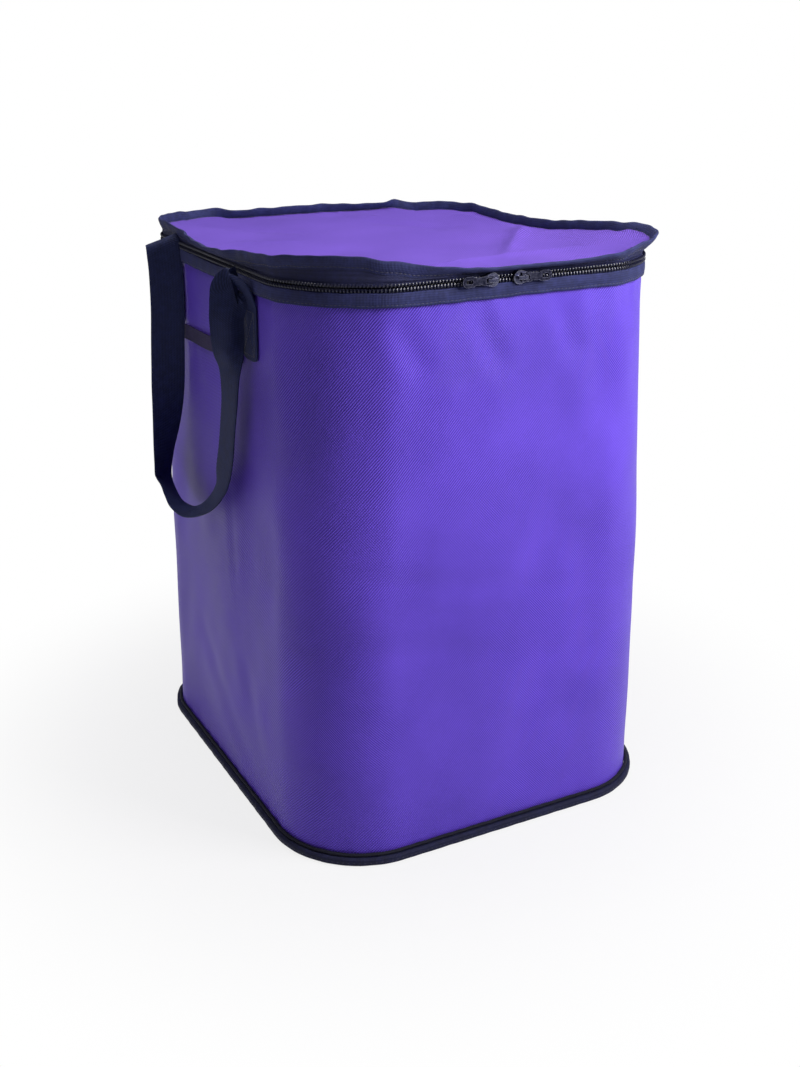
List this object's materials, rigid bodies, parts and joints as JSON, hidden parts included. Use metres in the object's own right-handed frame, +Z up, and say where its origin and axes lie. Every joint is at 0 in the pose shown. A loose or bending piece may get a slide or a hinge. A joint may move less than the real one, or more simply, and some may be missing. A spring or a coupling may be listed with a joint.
{
  "type": "skate bag",
  "caption": "Upright box-shaped cloth skate bag with rounded corners, zip-round hinged lid, metal sliders and webbing side handles.",
  "frame": {"origin": "on the floor, under the middle of the bag", "axes": "+Z up; the front, where the two zip sliders meet, faces -Y; the lid hinges at +Y; the handles hang on -X and +X"},
  "size_m": [0.3572, 0.356, 0.4335],
  "materials": {
    "shell_cloth": "twill-woven coated polyester, soft sheen",
    "lid_cloth": "twill-woven coated polyester, soft sheen",
    "foam": "closed-cell foam sheet",
    "lining": "plain-woven lining cloth",
    "board": "plain stiffening board",
    "binding": "ribbed binding tape",
    "piping": "cloth-covered cord",
    "zip_tape": "woven zip tape",
    "zip_coil": "nylon coil",
    "webbing": "ribbed webbing",
    "side_tape": "grosgrain tape",
    "thread": "sewing thread",
    "slider_metal": "plated die-cast metal"
  },
  "bodies": {
    "bag": {"wall_wrap": "shell_cloth", "wall_foam": "foam", "wall_lining": "lining", "back_seam_tape": "binding", "base_cloth": "shell_cloth", "base_board": "board", "base_lining": "lining", "base_binding": "binding", "base_piping": "piping", "mouth_binding": "binding", "zip_tape_lower": "zip_tape", "zip_coil_lower": "zip_coil", "lid_hinge_cloth": "binding", "handle_anchor_front_left": "webbing", "handle_anchor_back_left": "webbing", "handle_stitching_left": "thread", "side_tape_left": "side_tape", "handle_anchor_front_right": "webbing", "handle_anchor_back_right": "webbing", "handle_stitching_right": "thread", "side_tape_right": "side_tape"},
    "lid": {"zip_tape_upper": "zip_tape", "zip_coil_upper": "zip_coil", "lid_binding": "binding", "lid_cloth": "lid_cloth", "lid_lining": "lining"},
    "slider_left": {"slider_left": "slider_metal"},
    "pull_left": {"pull_left": "slider_metal"},
    "slider_right": {"slider_right": "slider_metal"},
    "pull_right": {"pull_right": "slider_metal"},
    "handle_left": {"handle_strap_left": "webbing"},
    "handle_right": {"handle_strap_right": "webbing"}
  },
  "joints": [
    {"name": "lid_hinge", "type": "hinge", "parent": "bag", "child": "lid", "pos_m": [0, 0.17, 0.4245], "axis": [-1, 0, 0], "range_deg": [0, 215]},
    {"name": "slider_left_run", "type": "slide", "parent": "bag", "child": "slider_left", "axis": [1, 0, 0], "range_m": [-0.055, 0.005]},
    {"name": "slider_right_run", "type": "slide", "parent": "bag", "child": "slider_right", "axis": [1, 0, 0], "range_m": [-0.005, 0.055]},
    {"name": "pull_left_swing", "type": "hinge", "parent": "slider_left", "child": "pull_left", "pos_m": [-0.017, -0.17095, 0.4133], "axis": [0, 0, 1], "range_deg": [0, 155]},
    {"name": "pull_right_swing", "type": "hinge", "parent": "slider_right", "child": "pull_right", "pos_m": [0.006, -0.17095, 0.4133], "axis": [0, 0, -1], "range_deg": [0, 155]},
    {"name": "handle_left_swing", "type": "hinge", "parent": "bag", "child": "handle_left", "pos_m": [-0.1526, 0, 0.398], "axis": [0, 1, 0], "range_deg": [0, 160]},
    {"name": "handle_right_swing", "type": "hinge", "parent": "bag", "child": "handle_right", "pos_m": [0.1526, 0, 0.398], "axis": [0, -1, 0], "range_deg": [0, 160]}
  ]
}
